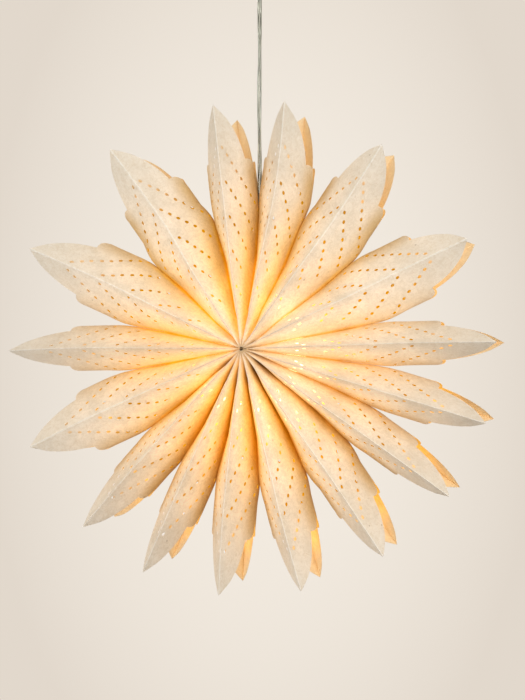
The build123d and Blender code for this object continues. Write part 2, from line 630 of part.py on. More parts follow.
def make_terminals():
    """The terminal block under the bracket, with its brass tubes, screws and the cord's two leads."""
    top = -BRACKET_THICKNESS - THREAD_GAP
    strap_low = top - BLOCK_STRAP
    low = strap_low - BLOCK_HEIGHT
    middle = (strap_low + low) / 2
    block = Pos(0, 0, middle) * Box(BLOCK_LENGTH, BLOCK_WIDTH, BLOCK_HEIGHT)
    block = fillet(block.edges().filter_by(Axis.Z), BLOCK_CORNER)
    block += Pos(0, 0, (top + strap_low) / 2) * Box(BLOCK_LENGTH / 3, BLOCK_WIDTH * 0.8, BLOCK_STRAP)
    tubes = None
    screws = None
    leads = None
    for side in (1, -1):
        x = side * BLOCK_LENGTH / 4
        tube_top = strap_low - BLOCK_ROOF - THREAD_GAP
        block -= rod(BLOCK_TUBE_RADIUS + THREAD_GAP, low - 1, strap_low - BLOCK_ROOF, x)
        brass = tube(BLOCK_TUBE_RADIUS, BLOCK_TUBE_RADIUS - BLOCK_TUBE_WALL, low, tube_top, x)
        screw_low = -BLOCK_WIDTH / 2
        screw_end = -LEAD_RADIUS - THREAD_GAP
        hole = bar((x, screw_low - 1, middle), (x, screw_end, middle), BLOCK_SCREW_RADIUS + THREAD_GAP)
        block -= hole
        brass -= hole
        screw = bar((x, screw_low + 1, middle), (x, screw_end, middle), BLOCK_SCREW_RADIUS)
        screw -= Pos(x, screw_low + 1, middle) * Box(2 * BLOCK_SCREW_RADIUS, 2 * SLOT_DEPTH, SLOT_WIDTH)
        lead = rod(LEAD_RADIUS, low - 1, tube_top - LEAD_RADIUS, x)
        lead += Pos(x, 0, low - 1) * Sphere(LEAD_RADIUS)
        tail_end = (side * (LEAD_RADIUS + THREAD_GAP), 0, TAIL_TOP + LEAD_RADIUS / 2)
        lead += bar((x, 0, low - 1), tail_end, LEAD_RADIUS)
        tubes = brass if tubes is None else tubes + brass
        screws = screw if screws is None else screws + screw
        leads = lead if leads is None else leads + lead
    keep("terminal_block", block, (0.95, 0.95, 0.95))
    keep("terminal_tubes", tubes, (0.85, 0.7, 0.35))
    keep("terminal_screws", screws, (0.8, 0.8, 0.8))
    keep("cord_tail_leads", leads, (0.8, 0.45, 0.25))


make_rays()
make_seam_pads()
make_holder()
make_holder_inside()
make_carrier()
make_bulb()
make_cord()
make_cup()
make_cup_grip()
make_terminals()

for name, shape in parts.items():
    export_step(shape, f"parts/{name}.step")
print(len(parts), "nodes")
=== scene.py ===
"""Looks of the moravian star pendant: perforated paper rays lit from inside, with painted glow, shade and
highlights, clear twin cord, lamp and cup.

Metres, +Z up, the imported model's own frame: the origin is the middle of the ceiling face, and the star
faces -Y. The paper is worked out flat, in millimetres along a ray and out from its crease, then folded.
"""

import math
import random

import bmesh
import bpy
import numpy as np
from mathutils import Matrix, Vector
from mathutils.geometry import delaunay_2d_cdt


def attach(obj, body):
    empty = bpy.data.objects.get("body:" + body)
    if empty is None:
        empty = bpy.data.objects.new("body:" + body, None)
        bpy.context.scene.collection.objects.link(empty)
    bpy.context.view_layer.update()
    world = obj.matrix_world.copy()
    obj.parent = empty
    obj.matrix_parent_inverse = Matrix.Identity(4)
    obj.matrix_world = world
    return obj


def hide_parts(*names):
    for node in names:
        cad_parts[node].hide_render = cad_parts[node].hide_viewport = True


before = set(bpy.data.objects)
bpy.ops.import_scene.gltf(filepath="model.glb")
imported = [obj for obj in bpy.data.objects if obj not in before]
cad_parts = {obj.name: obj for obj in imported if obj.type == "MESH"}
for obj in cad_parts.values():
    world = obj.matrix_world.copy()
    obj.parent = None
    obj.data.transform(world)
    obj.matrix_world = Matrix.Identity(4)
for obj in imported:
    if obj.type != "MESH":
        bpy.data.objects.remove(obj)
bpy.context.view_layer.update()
scene = bpy.context.scene
scene.view_settings.view_transform = "Standard"
MM = 0.001

# ---- the star, in millimetres, as the solids have it ----
STAR_RADIUS = 300.0  # from the star's centre to the tip of each ray
STAR_DROP = 520.0  # the star's centre below the ceiling
STAR_SHIFT = -7.0  # the star's centre, left of the cord
PAPER = 0.3
BAG_HALF = 68.0  # paper from a crease to the line halfway to the other crease
RAY_OPENINGS = [20, 19, 28, 29, 19, 18, 18, 23, 21, 19, 17, 20, 27, 20, 29, 33]  # degrees, one per ray
SEAM_ANGLE = 2.5  # the seam between rays 1 and 2, clockwise from straight up
GLUE_GAP = 0.1  # from a ray's wall to the plane where it meets its neighbour
LEAST_HALF = 0.15  # half a ray's width, at least, near the star's centre
PART_START = 150.0  # from here outwards two neighbours curve apart
PART_END = 190.0  # from here outwards a ray keeps its width
TURN_SHARE = 0.15  # share of a panel's depth over which it turns to run beside its neighbour
BULGE = 1.07  # how much a wall bows, counted on the square of the half width
GLUE_STRIP = 4.0  # half the strip at mid-depth where a ray's wall lies flat beside its neighbour's
GLUE_STRIP_END = 110.0  # from here outwards the strip is that narrow; inwards it widens round the lamp
CAVITY_RADIUS = 70.0  # the space for the lamp
CAVITY_HALF_DEPTH = 32.0
CAVITY_CORNER = 20.0
CAVITY_RIM = 4.0  # flat paper left round the lamp's space
VALLEY_BACK = 100.0  # the cut's lowest point, at mid-depth, back from the tip
CORD_DIAMETER = 5.6

# ---- the flat paper's cut, as (back from the tip, out from the crease) ----
LEAF_EDGE = [(0, 0), (8, 11), (18, 22.5), (34, 34), (50, 41.5), (65, 46)]
LOBE_EDGE = [(64.5, 50), (65.5, 56), (70, 61.5), (78, 65), (88, 67)]
LEAF_STEPS = 6  # points per span of the leaf's edge
LOBE_STEPS = 5  # and of the lobe's
RIM_STEP = 4.0  # spacing along the lamp space's straight rim
CORNER_STEPS = 6  # points round its corner
INNER_END = 1.6  # the paper starts this far from the star's centre
FOLD_STEPS = 48  # points across each folded section

# ---- each ray's free end: its tip's lean clockwise, its added length, and its added half width ----
LEAN_START = 185.0  # from here outwards a free end leans
LEAN_POWER = 1.5  # how the lean grows towards the tip
TIP_LEAN = [2, -11, -4, 2, 3, 0.5, 1, 1, -5, -7, -2, -4, -5, -5, -3.5, -6]
TIP_STRETCH = [0, 3, -3, 0, 6, 6, 5, 1, 1, 2, 3, 2, 5, 4.5, 8, 6]
END_WIDTH = [0.5, 4, -3, -2, -1.5, 0, -1.5, -4.5, -2, -1.5, 0, -1.5, 0.5, -1, -1.2, -6]

# ---- the chevrons of holes ----
HOLE_LENGTH = 5.3
HOLE_WIDTH = 3.9
HOLE_SIDES = 12
HOLE_CLEAR = 0.8  # between a hole's end and the mesh's own points
ROW_BACK = [52, 95, 138, 181, 224]  # each chevron's first hole, back from the tip
ROW_HOLES = [9, 7, 5, 3, 2]
ROW_START = 8.0  # first hole, out from the crease
ROW_PITCH = 11.9
ROW_ANGLE = 35.0  # between a row and the crease
PLACE_SLACK = (0.5, 0.4)  # how far a hole is off its place, along and out
TURN_SLACK = 0.2  # and how far it is turned off its row, in radians

# ---- the paper's mesh ----
GRID = 5.5  # spacing of the mesh's points
GRID_ROW = 0.866  # between rows, as a share of GRID
PANEL_REACH = 90.0  # farthest out that the grid goes
EDGE_CLEAR = 0.42  # between the grid and the edges' points, as a share of GRID
CUT_SLACK = 0.0001  # points closer than this are one
WELD = 0.02  # panel edges closer than this are joined
SHARP_ANGLE = 35.0  # edges that turn more than this are shaded sharp

# ---- heights, in metres ----
CORD_EXIT = -0.066
CORD_END = -0.4657
BULB_DROP = 0.02  # the lit middle of the bulb, down from the star's centre

centre = Vector((STAR_SHIFT * MM, 0, -STAR_DROP * MM))
bulb_centre = centre + Vector((-STAR_SHIFT * MM, 0, -BULB_DROP))


# ---------------------------------------------------------------- camera

CAMERA_TURN = math.radians(13.4)
CAMERA_TILT = math.radians(-0.14)
CAMERA_DISTANCE = 1.85
CAMERA_LENS = 76.06
CAMERA_AIM = Vector((0.0108, 0, -0.0013))  # from the star's centre


def make_camera():
    """The photograph's view: a little to the right of the star's front, level with its centre."""
    data = bpy.data.cameras.new("camera")
    data.lens = CAMERA_LENS
    camera = bpy.data.objects.new("camera", data)
    back = Vector((
        math.sin(CAMERA_TURN) * math.cos(CAMERA_TILT),
        -math.cos(CAMERA_TURN) * math.cos(CAMERA_TILT),
        math.sin(CAMERA_TILT),
    ))
    camera.location = centre + CAMERA_AIM + back * CAMERA_DISTANCE
    camera.rotation_euler = back.to_track_quat("Z", "Y").to_euler()
    scene.collection.objects.link(camera)
    scene.camera = camera


# ---------------------------------------------------------------- nodes


class Nodes:
    """A node tree, built call by call."""

    def __init__(self, tree):
        self.tree = tree

    def add(self, kind, inputs=None, **settings):
        """A node with its settings, and with each input set to a value or linked to an output."""
        node = self.tree.nodes.new(kind)
        for key, value in settings.items():
            setattr(node, key, value)
        for key, value in (inputs or {}).items():
            self.put(node.inputs[key], value)
        return node

    def put(self, socket, value):
        """Sets a socket, or links an output to it. A colour gets its alpha."""
        if isinstance(value, bpy.types.NodeSocket):
            self.tree.links.new(value, socket)
        elif socket.type == "RGBA":
            socket.default_value = (*value, 1)
        else:
            socket.default_value = value

    def math(self, operation, a, b=0.0, clamp=False):
        return self.add("ShaderNodeMath", {0: a, 1: b}, operation=operation, use_clamp=clamp).outputs[0]

    def times(self, first, *others):
        """The product of several values."""
        for other in others:
            first = self.math("MULTIPLY", first, other)
        return first

    def rest(self, share):
        """What a share leaves of 1."""
        return self.math("SUBTRACT", 1.0, share)

    def vector(self, operation, a, b=(0, 0, 0), output="Vector"):
        return self.add("ShaderNodeVectorMath", {0: a, 1: b}, operation=operation).outputs[output]

    def ramp(self, value, low, high, to_low=0.0, to_high=1.0):
        """A smooth step from one number to another, as a value goes from low to high."""
        inputs = {0: value, 1: low, 2: high, 3: to_low, 4: to_high}
        return self.add("ShaderNodeMapRange", inputs, interpolation_type="SMOOTHSTEP").outputs[0]

    def fall(self, value, low, high):
        """A smooth step from 1 down to 0."""
        return self.ramp(value, low, high, 1.0, 0.0)

    def ease(self, share, at_none, at_full):
        """A smooth step as a share goes from 0 to 1."""
        return self.ramp(share, 0.0, 1.0, at_none, at_full)

    def mix(self, share, a, b, blend="MIX"):
        """A mix of two colours."""
        inputs = {0: share, 6: a, 7: b}
        return self.add("ShaderNodeMix", inputs, data_type="RGBA", blend_type=blend).outputs[2]

    def colour_ramp(self, value, stops):
        """A colour that changes through stops, each a place from 0 to 1 and its colour."""
        ramp = self.add("ShaderNodeValToRGB", {0: value})
        elements = ramp.color_ramp.elements
        elements[0].position, elements[1].position = stops[0][0], stops[-1][0]
        for position, _ in stops[1:-1]:
            elements.new(position)
        for element, (_, colour) in zip(elements, stops):
            element.color = (*colour, 1)
        return ramp.outputs[0]


class Shader(Nodes):
    """A material with its surface shader."""

    def __init__(self, name):
        self.material = bpy.data.materials.new(name)
        self.material.use_nodes = True
        super().__init__(self.material.node_tree)
        self.surface = self.tree.nodes["Principled BSDF"]

    def place(self):
        return self.add("ShaderNodeTexCoord").outputs["Object"]

    def noise(self, scale, detail=4.0, roughness=0.55, distortion=0.0, vector=None):
        inputs = {"Scale": scale, "Detail": detail, "Roughness": roughness, "Distortion": distortion}
        inputs["Vector"] = vector or self.place()
        return self.add("ShaderNodeTexNoise", inputs).outputs["Fac"]

    def stretched(self, scale):
        """The object's own places, scaled by (x, y, z)."""
        return self.add("ShaderNodeMapping", {"Vector": self.place(), "Scale": scale}).outputs[0]

    def bump(self, height, strength, distance, normal=None):
        inputs = {"Height": height, "Strength": strength, "Distance": distance}
        if normal:
            inputs["Normal"] = normal
        return self.add("ShaderNodeBump", inputs).outputs[0]

    def set(self, **values):
        """Inputs of the surface shader, by name with _ for a space."""
        for key, value in values.items():
            self.put(self.surface.inputs[key.replace("_", " ")], value)


# ---------------------------------------------------------------- paper

# The glow through the paper and inside it, by distance from the lamp as shares of GLOW_REACH.
GLOW_REACH = 0.32
OUTSIDE_GLOW = [
    (0.20, (0.38, 0.28, 0.18)),
    (0.32, (0.36, 0.24, 0.12)),
    (0.50, (0.265, 0.157, 0.05)),
    (0.70, (0.125, 0.063, 0.012)),
    (0.97, (0.0, 0.0, 0.0)),
]
INSIDE_GLOW = [
    (0.20, (3.0, 2.4, 1.4)),
    (0.30, (1.35, 0.80, 0.12)),
    (0.42, (0.60, 0.28, 0.004)),
    (0.60, (0.48, 0.24, 0.003)),
    (0.74, (0.34, 0.175, 0.008)),
    (0.80, (0.11, 0.065, 0.02)),
    (1.0, (0.03, 0.02, 0.01)),
]

# The sheet's own colours, dim and pale in clouds, and painted lamp glow that warms it where the lamp is
# near, paler on rays to the right, where the key light whitens it.
SHEET_DIM = (0.76, 0.67, 0.54)
SHEET_PALE = (0.97, 0.91, 0.81)
WARM_DIM = (0.88, 0.62, 0.30)
WARM_LEFT = (0.93, 0.77, 0.52)
WARM_RIGHT = (0.97, 0.85, 0.66)

# The painted light and shade laid over it outside: painted shade at the star's centre and painted light on
# the fold ends round it, painted shade and lamp glow towards the valleys, and painted highlights on the
# creases.
MIDDLE_SHADE = (0.05, 0.03, 0.015)
CENTRE_LIT_PALE = (0.97, 0.90, 0.80)
FOOT_SHADE_BROWN = (0.42, 0.28, 0.14)
GOLD_GLOW = (0.92, 0.67, 0.14)
VALLEY_SHADE = (0.66, 0.44, 0.17)
GLOW_LINE_GOLD = (0.93, 0.62, 0.01)
GLOW_LINE_AMBER = (0.80, 0.44, 0.005)
SLIT_SHADE_BROWN = (0.34, 0.13, 0.002)
GORGE_SHADE_BROWN = (0.34, 0.12, 0.004)
CREASE_HIGHLIGHT_GREY = (0.72, 0.67, 0.62)
CREASE_HIGHLIGHT_WHITE = (0.98, 0.95, 0.89)

# The inside's colours: painted shade and amber lamp glow in the closed hollow, painted light on the open
# leaves, and the sheet's beige near the star's centre.
HOLLOW_SHADE_AMBER = (0.36, 0.20, 0.006)
LEAF_LIT_CREAM = (0.91, 0.74, 0.48)
INNER_BEIGE = (0.80, 0.68, 0.52)

# The sheet's texture.
PULP_TONE = (0.84, 0.76, 0.64)
PULP_SHOWS = (0.35, 0.7, 0.0, 0.5)
FIBRE_TONE = (0.80, 0.70, 0.56)
FIBRE_EDGE = (0.0, 0.009)
FIBRE_SHARE = 0.55
FLECK_TONE = (0.36, 0.24, 0.12)
FLECK_EDGE = (0.05, 0.13)
FLECK_CHOICE = (0.9, 0.92)  # of the spots, those above this are flecks
FLECK_SHARE = 0.5

# Where looks change: the two values between which each one does, then its strength at both, unless it
# comes or goes in full. ALONG is metres from the star's centre, OUT is metres from the crease, ASIDE goes
# from 0 at a crease to 1 at a valley, and UP is the upward part of a ray's direction. BY is the strength
# on rays that point another way and on rays that point that way, and SHARE is the strength over all.
MIDDLE_ALONG = (0.0017, 0.0026)
CENTRE_ALONG = (0.01, 0.03, 0.8, 0.0)
WARM_REACH = (0.07, 0.29)  # metres from the lamp
WARM_ASIDE = (0.1, 0.8, 0.3, 1.0)
WARM_BY_RIGHT = (1.0, 0.5)
WARM_SHARE = 0.9
FOOT_SHADE_ALONG = (0.004, 0.02, 0.6, 0.0)
FOOT_SHADE_ASIDE = (0.4, 0.9)
GOLD_GLOW_ALONG = (0.08, 0.2)
GOLD_GLOW_ASIDE = (0.2, 0.8)
GOLD_GLOW_UP = (0.7, 1.0, 0.0, 0.5)
GOLD_GLOW_BY_DOWN = (0.15, 0.7)
GOLD_GLOW_BY_RIGHT = (1.0, 0.4)
VALLEY_SHADE_START_ALONG = (0.06, 0.14)
VALLEY_SHADE_END_ALONG = (0.21, 0.27)
VALLEY_SHADE_ASIDE = (0.55, 1.0)
VALLEY_SHADE_BY_UPRIGHT = (0.3, 0.95)
VALLEY_SHADE_SHARE = 0.9
GLOW_LINE_ALONG = (0.11, 0.19)
GLOW_LINE_ASIDE = (0.88, 0.97)
WIDE_GLOW_LINE_ASIDE = (0.7, 0.97)
GLOW_LINE_BY_RIGHT = (0.85, 0.5)
GLOW_LINE_SHARE = 0.95
SLIT_SHADE_ALONG = (0.05, 0.15, 0.85, 0.0)
SLIT_SHADE_ASIDE = (0.86, 0.98)
GORGE_SHADE_ALONG = (0.018, 0.062)
GORGE_SHADE_ASIDE = (0.45, 0.9)
GORGE_SHADE_UP = (-0.75, -0.2)
GORGE_SHADE_SHARE = 0.9
CREASE_HIGHLIGHT_ALONG = (0.01, 0.025, 0.1, 1.0)
CREASE_HIGHLIGHT_OUT = (0.0004, 0.0022)
CREASE_HIGHLIGHT_WHITE_ALONG = (0.06, 0.12)
CREASE_HIGHLIGHT_SHARE = 0.75
LEAF_ALONG = (0.2, 0.235)
INNER_ALONG = (0.012, 0.02)

# Which rays point right, down, and up or down: between two values of that part of a ray's direction. By
# these, painted light and shade follow the key light: rays to the right get less painted warmth and glow,
# and rays pointing down more painted shade in their valleys.
RIGHTWARDS = (-0.1, 0.95)
DOWNWARDS = (-0.95, -0.3)
UPRIGHT = (0.1, 0.9)

# What dims the painted glow: creases, the star's centre, rays to the right, the painted valley shade and
# gorge shade, and the sheet's patches.
GLOW_DIM_ALONG = (0.003, 0.03, 0.45, 0.97)
GLOW_DIM_ASIDE = (0.02, 0.25, 0.6, 1.0)
GLOW_DIM_BY_RIGHT = (1.0, 0.8)
VALLEY_SHADE_DIMS = 0.4
GORGE_SHADE_DIMS = 0.9
INNER_GLOW_ALONG = (0.014, 0.03, 0.06, 1.0)
CLOUD_GLOW = (0.3, 0.7, 0.65, 1.25)
PULP_GLOW = (0.3, 0.75, 1.15, 0.7)


def paper_texture(m):
    """The handmade sheet's clouds, pulp, long fibres and flecks, each as a share."""
    cloud = m.noise(scale=26, detail=5, roughness=0.62, distortion=0.4)
    pulp = m.noise(scale=170, detail=5, roughness=0.7, distortion=1.2)
    hair = m.noise(scale=55, detail=2, roughness=0.5, distortion=3.2)
    fibre = m.fall(m.math("ABSOLUTE", m.math("SUBTRACT", hair, 0.5)), *FIBRE_EDGE)
    spots = m.add("ShaderNodeTexVoronoi", {"Scale": 75.0, "Randomness": 1.0, "Vector": m.place()})
    chosen = m.add("ShaderNodeSeparateColor", {0: spots.outputs["Color"]}).outputs[0]
    fleck = m.times(m.fall(spots.outputs["Distance"], *FLECK_EDGE), m.ramp(chosen, *FLECK_CHOICE))
    return cloud, pulp, fibre, fleck


def ray_direction(m):
    """How far a ray points right, down, and away from level, each as a share; and its upward part."""
    level = m.vector("MULTIPLY", m.vector("SUBTRACT", m.place(), centre), (1, 0, 1))
    right, _, up = m.add("ShaderNodeSeparateXYZ", {0: m.vector("NORMALIZE", level)}).outputs
    upright = m.ramp(m.math("ABSOLUTE", up), *UPRIGHT)
    return m.ramp(right, *RIGHTWARDS), m.fall(up, *DOWNWARDS), upright, up


def outside_looks(m, flat, far, cloud):
    """The outside's colour and its share of the glow: painted shade and lamp glow deeper towards valleys,
    and painted highlights pale at creases.
    """
    along, out, aside = flat
    right, down, upright, up = ray_direction(m)

    # Painted lamp glow: the sheet is warmer near the lamp and towards the valleys, and paler on rays to the
    # right, where the key light whitens it.
    lamp_warmth = m.times(m.fall(far, *WARM_REACH), m.ramp(aside, *WARM_ASIDE), m.ease(right, *WARM_BY_RIGHT))
    lamp_warm_tone = m.mix(cloud, WARM_DIM, m.mix(right, WARM_LEFT, WARM_RIGHT))
    # Painted light: the fold ends round the star's centre are made pale.
    centre_light = m.ramp(along, *CENTRE_ALONG)
    # Painted shade: brown towards the valleys at the rays' feet, round the star's centre.
    foot = m.times(m.ramp(aside, *FOOT_SHADE_ASIDE), m.ramp(along, *FOOT_SHADE_ALONG))
    # Painted lamp glow: gold towards the valleys near the star's centre, most on rays pointing down or
    # straight up, less on rays to the right.
    gold_glow = m.times(m.ramp(aside, *GOLD_GLOW_ASIDE), m.fall(along, *GOLD_GLOW_ALONG))
    gold_glow = m.times(gold_glow, m.math("ADD", m.ease(down, *GOLD_GLOW_BY_DOWN), m.ramp(up, *GOLD_GLOW_UP)))
    gold_glow = m.times(gold_glow, m.ease(right, *GOLD_GLOW_BY_RIGHT))
    # Painted shade: darker towards the valleys part way out along each ray, most on rays that point up or
    # down.
    valley_shade = m.times(m.ramp(along, *VALLEY_SHADE_START_ALONG), m.fall(along, *VALLEY_SHADE_END_ALONG))
    valley_shade = m.times(valley_shade, m.ramp(aside, *VALLEY_SHADE_ASIDE), m.ease(upright, *VALLEY_SHADE_BY_UPRIGHT))
    # Painted lamp glow: a gold line in each valley near the star's centre, wider and amber on rays pointing
    # down, fainter on rays to the right.
    wide = m.times(m.ramp(aside, *WIDE_GLOW_LINE_ASIDE), down)
    narrow = m.times(m.ramp(aside, *GLOW_LINE_ASIDE), m.ease(right, *GLOW_LINE_BY_RIGHT))
    line = m.times(m.math("MAXIMUM", wide, narrow), m.fall(along, *GLOW_LINE_ALONG))
    # Painted shade: a dark brown slit deep in the valleys of rays pointing down, near the star's centre.
    slit_shade = m.times(m.ramp(aside, *SLIT_SHADE_ASIDE), m.ramp(along, *SLIT_SHADE_ALONG), down)
    # Painted shade: dark brown in the valleys between rays pointing down, close round the star's centre.
    gorge_shade = m.times(m.ramp(aside, *GORGE_SHADE_ASIDE), m.fall(along, *GORGE_SHADE_ALONG), m.fall(up, *GORGE_SHADE_UP))
    # Painted highlight: a thin pale line along each crease, greyer near the star's centre.
    crease_highlight = m.times(m.fall(out, *CREASE_HIGHLIGHT_OUT), m.ramp(along, *CREASE_HIGHLIGHT_ALONG))

    tone = m.mix(cloud, SHEET_DIM, SHEET_PALE)
    layers = [
        (m.times(lamp_warmth, WARM_SHARE), lamp_warm_tone),
        (centre_light, CENTRE_LIT_PALE),
        (foot, FOOT_SHADE_BROWN),
        (gold_glow, GOLD_GLOW),
        (m.times(valley_shade, VALLEY_SHADE_SHARE), VALLEY_SHADE),
        (m.times(line, GLOW_LINE_SHARE), m.mix(down, GLOW_LINE_GOLD, GLOW_LINE_AMBER)),
        (slit_shade, SLIT_SHADE_BROWN),
        (m.times(gorge_shade, GORGE_SHADE_SHARE), GORGE_SHADE_BROWN),
        (m.times(crease_highlight, CREASE_HIGHLIGHT_SHARE), m.mix(m.ramp(along, *CREASE_HIGHLIGHT_WHITE_ALONG), CREASE_HIGHLIGHT_GREY, CREASE_HIGHLIGHT_WHITE)),
    ]
    for share, colour in layers:
        tone = m.mix(share, tone, colour)

    # Share of the painted glow: dimmed at creases, near the star's centre, on rays to the right, and under
    # the painted valley and gorge shade.
    glow_share = m.times(m.ramp(aside, *GLOW_DIM_ASIDE), m.ramp(along, *GLOW_DIM_ALONG))
    glow_share = m.times(glow_share, m.ease(right, *GLOW_DIM_BY_RIGHT))
    glow_share = m.times(glow_share, m.rest(m.times(gorge_shade, GORGE_SHADE_DIMS)), m.rest(m.times(valley_shade, VALLEY_SHADE_DIMS)))
    return tone, glow_share


def inside_looks(m, flat):
    """The inside's colour and its share of the glow: painted shade and amber lamp glow in the hollow,
    painted light, cream, on the open leaves.
    """
    along = flat[0]
    # Painted shade and amber lamp glow in the closed hollow; painted light, cream, on the open leaves.
    tone = m.mix(m.ramp(along, *LEAF_ALONG), HOLLOW_SHADE_AMBER, LEAF_LIT_CREAM)
    tone = m.mix(m.ramp(along, *INNER_ALONG), INNER_BEIGE, tone)
    return tone, m.ramp(along, *INNER_GLOW_ALONG)


def paper_material(name, inside):
    """Handmade paper with fibres and flecks and painted light and shade, which glows by its distance from
    the lamp, more inside.
    """
    m = Shader(name)
    flat = m.add("ShaderNodeAttribute", attribute_name="flat").outputs["Vector"]
    flat = m.add("ShaderNodeSeparateXYZ", {0: flat}).outputs
    far = m.vector("DISTANCE", m.place(), bulb_centre, output="Value")
    cloud, pulp, fibre, fleck = paper_texture(m)
    tone, glow_share = inside_looks(m, flat) if inside else outside_looks(m, flat, far, cloud)

    # Painted shade: the very middle of the star, where its paper ends, is made dark and its glow is put out.
    middle = m.ramp(flat[0], *MIDDLE_ALONG)
    tone = m.mix(middle, MIDDLE_SHADE, tone)
    tone = m.mix(m.ramp(pulp, *PULP_SHOWS), tone, PULP_TONE, "MULTIPLY")
    tone = m.mix(m.times(fibre, FIBRE_SHARE), tone, FIBRE_TONE, "MULTIPLY")
    tone = m.mix(m.times(fleck, FLECK_SHARE), tone, FLECK_TONE)

    wrinkle = m.noise(scale=20, detail=6, roughness=0.5, distortion=1.5)
    grain = m.noise(scale=900, detail=3, roughness=0.6)
    normal = m.bump(wrinkle, strength=0.35, distance=0.0035)
    normal = m.bump(m.math("ADD", pulp, m.times(fibre, 0.4)), strength=0.22, distance=0.0006, normal=normal)
    normal = m.bump(grain, strength=0.15, distance=0.0002, normal=normal)
    m.set(Base_Color=tone, Roughness=0.82, Normal=normal, Specular_IOR_Level=0.25)

    glow = m.colour_ramp(m.math("DIVIDE", far, GLOW_REACH), INSIDE_GLOW if inside else OUTSIDE_GLOW)
    patchy = m.times(m.ramp(cloud, *CLOUD_GLOW), m.ramp(pulp, *PULP_GLOW))
    m.set(Emission_Color=glow if inside else m.mix(1.0, glow, tone, "MULTIPLY"))
    m.set(Emission_Strength=m.times(patchy, glow_share, middle))
    return m.material


# ---------------------------------------------------------------- other materials


def plastic(name, colour, roughness, mottling=0.04):
    """Moulded plastic: a slight flow in its colour, and a faint orange peel."""
    m = Shader(name)
    darker = tuple(c * (1 - 3 * mottling) for c in colour)
    worn = m.ramp(m.noise(240, 4), 0.3, 0.8, roughness - 0.06, roughness + 0.1)
    peel = m.bump(m.noise(700, 2), strength=0.08, distance=0.0002)
    m.set(Base_Color=m.mix(m.noise(60, 3), darker, colour), Roughness=worn, Normal=peel)
    return m.material


def metal(name, colour, roughness=0.32, scale=160):
    """Plated or drawn metal: fine lines across it, and cloudy wear."""
    m = Shader(name)
    lines = m.noise(1.0, 4, 0.6, vector=m.stretched((scale, scale, 14 * scale)))
    m.set(Base_Color=m.mix(m.noise(90, 4), tuple(c * 0.82 for c in colour), colour), Metallic=1.0)
    m.set(Roughness=m.ramp(lines, 0.2, 0.8, roughness - 0.08, roughness + 0.12))
    m.set(Normal=m.bump(lines, strength=0.12, distance=0.0002))
    return m.material


def tinned(name):
    """Fine tinned strands: bright and dark streaks along their length, painted glints and shade."""
    m = Shader(name)
    streak = m.noise(1.0, 3, 0.6, vector=m.stretched((1500, 1500, 25)))
    # Painted glints and painted shade: bright and dark streaks in the strands' colour.
    tone = m.mix(m.ramp(streak, 0.42, 0.58), (0.16, 0.16, 0.13), (0.95, 0.96, 0.92))
    m.set(Base_Color=tone, Metallic=1.0, Roughness=m.ramp(streak, 0.3, 0.7, 0.4, 0.22))
    m.set(Normal=m.bump(streak, strength=0.2, distance=0.0001))
    return m.material


def clear(name, colour, roughness, ior):
    """Clear glass or plastic, with faint haze."""
    m = Shader(name)
    haze = m.ramp(m.noise(120, 4), 0.35, 0.8, roughness, roughness + 0.08)
    m.set(Base_Color=colour, Roughness=haze, IOR=ior, Transmission_Weight=1.0)
    return m.material


def glowing(name, colour, strength):
    """The lit filaments: brighter in patches along their length."""
    m = Shader(name)
    patches = m.ramp(m.noise(300, 2), 0.3, 0.7, 0.7 * strength, strength)
    m.set(Base_Color=colour, Emission_Color=colour, Emission_Strength=patches, Roughness=0.5)
    return m.material


def woven(name, colour):
    """Looped fabric of the closure pads."""
    m = Shader(name)
    cells = m.add("ShaderNodeTexVoronoi", {"Scale": 1400.0, "Vector": m.place()}).outputs["Distance"]
    tone = m.mix(cells, tuple(c * 0.7 for c in colour), colour)
    loops = m.bump(cells, strength=0.5, distance=0.0004)
    m.set(Base_Color=tone, Roughness=0.95, Normal=loops, Sheen_Weight=0.3)
    return m.material


# ---------------------------------------------------------------- the paper's fold


def half_width(along, slope):
    """Half the width of a ray: wedge-shaped, then parallel."""
    past = np.clip(along - PART_START, 0, PART_END - PART_START)
    wedge = np.minimum(along, PART_END)
    return slope * (wedge - past * past / (2 * (PART_END - PART_START)))


def flat_strip(along):
    """Half the strip at mid-depth where a wall lies flat beside its neighbour's."""
    at_end = CAVITY_HALF_DEPTH - CAVITY_CORNER / 2 + CAVITY_RIM / 2
    places = [CAVITY_RADIUS - CAVITY_CORNER, CAVITY_RADIUS, GLUE_STRIP_END]
    return np.interp(along, places, [CAVITY_HALF_DEPTH + CAVITY_RIM, at_end, GLUE_STRIP])


def wall_curves(along, slope):
    """Each section's curve from the crease to the flat strip, its running length, and the strip."""
    half = np.maximum(half_width(along, slope) - GLUE_GAP, LEAST_HALF)[:, None]
    strip = flat_strip(along)[:, None]
    deep = strip + np.sqrt((BAG_HALF - strip) ** 2 - BULGE * half**2)
    turn = strip + TURN_SHARE * (deep - strip)
    t = np.linspace(0, 1, FOLD_STEPS)[None, :]
    x = half * (2 * t - t * t)
    y = -((1 - t) ** 2 * deep + 2 * t * (1 - t) * turn + t * t * strip)
    length = np.zeros_like(x)
    length[:, 1:] = np.cumsum(np.hypot(np.diff(x, axis=1), np.diff(y, axis=1)), axis=1)
    return x, y, length, strip[:, 0]


def fold(along, out, slope):
    """Places flat paper on a ray's front right wall: across and depth, in the ray's own frame."""
    x, y, length, _ = wall_curves(along, slope)
    across, depth = np.empty(len(along)), np.empty(len(along))
    for i, reach in enumerate(out):
        across[i] = np.interp(reach, length[i], x[i])
        past = max(0.0, reach - length[i, -1])
        depth[i] = np.interp(reach, length[i], y[i]) + past
    return across, np.minimum(depth, 0.0)


def mid_depth(along, slope, before=0.0):
    """How far out from the crease a section reaches mid-depth, or stops before it."""
    length, strip = wall_curves(np.array([along]), slope)[2:]
    return float(length[0, -1] + strip[0] - before)


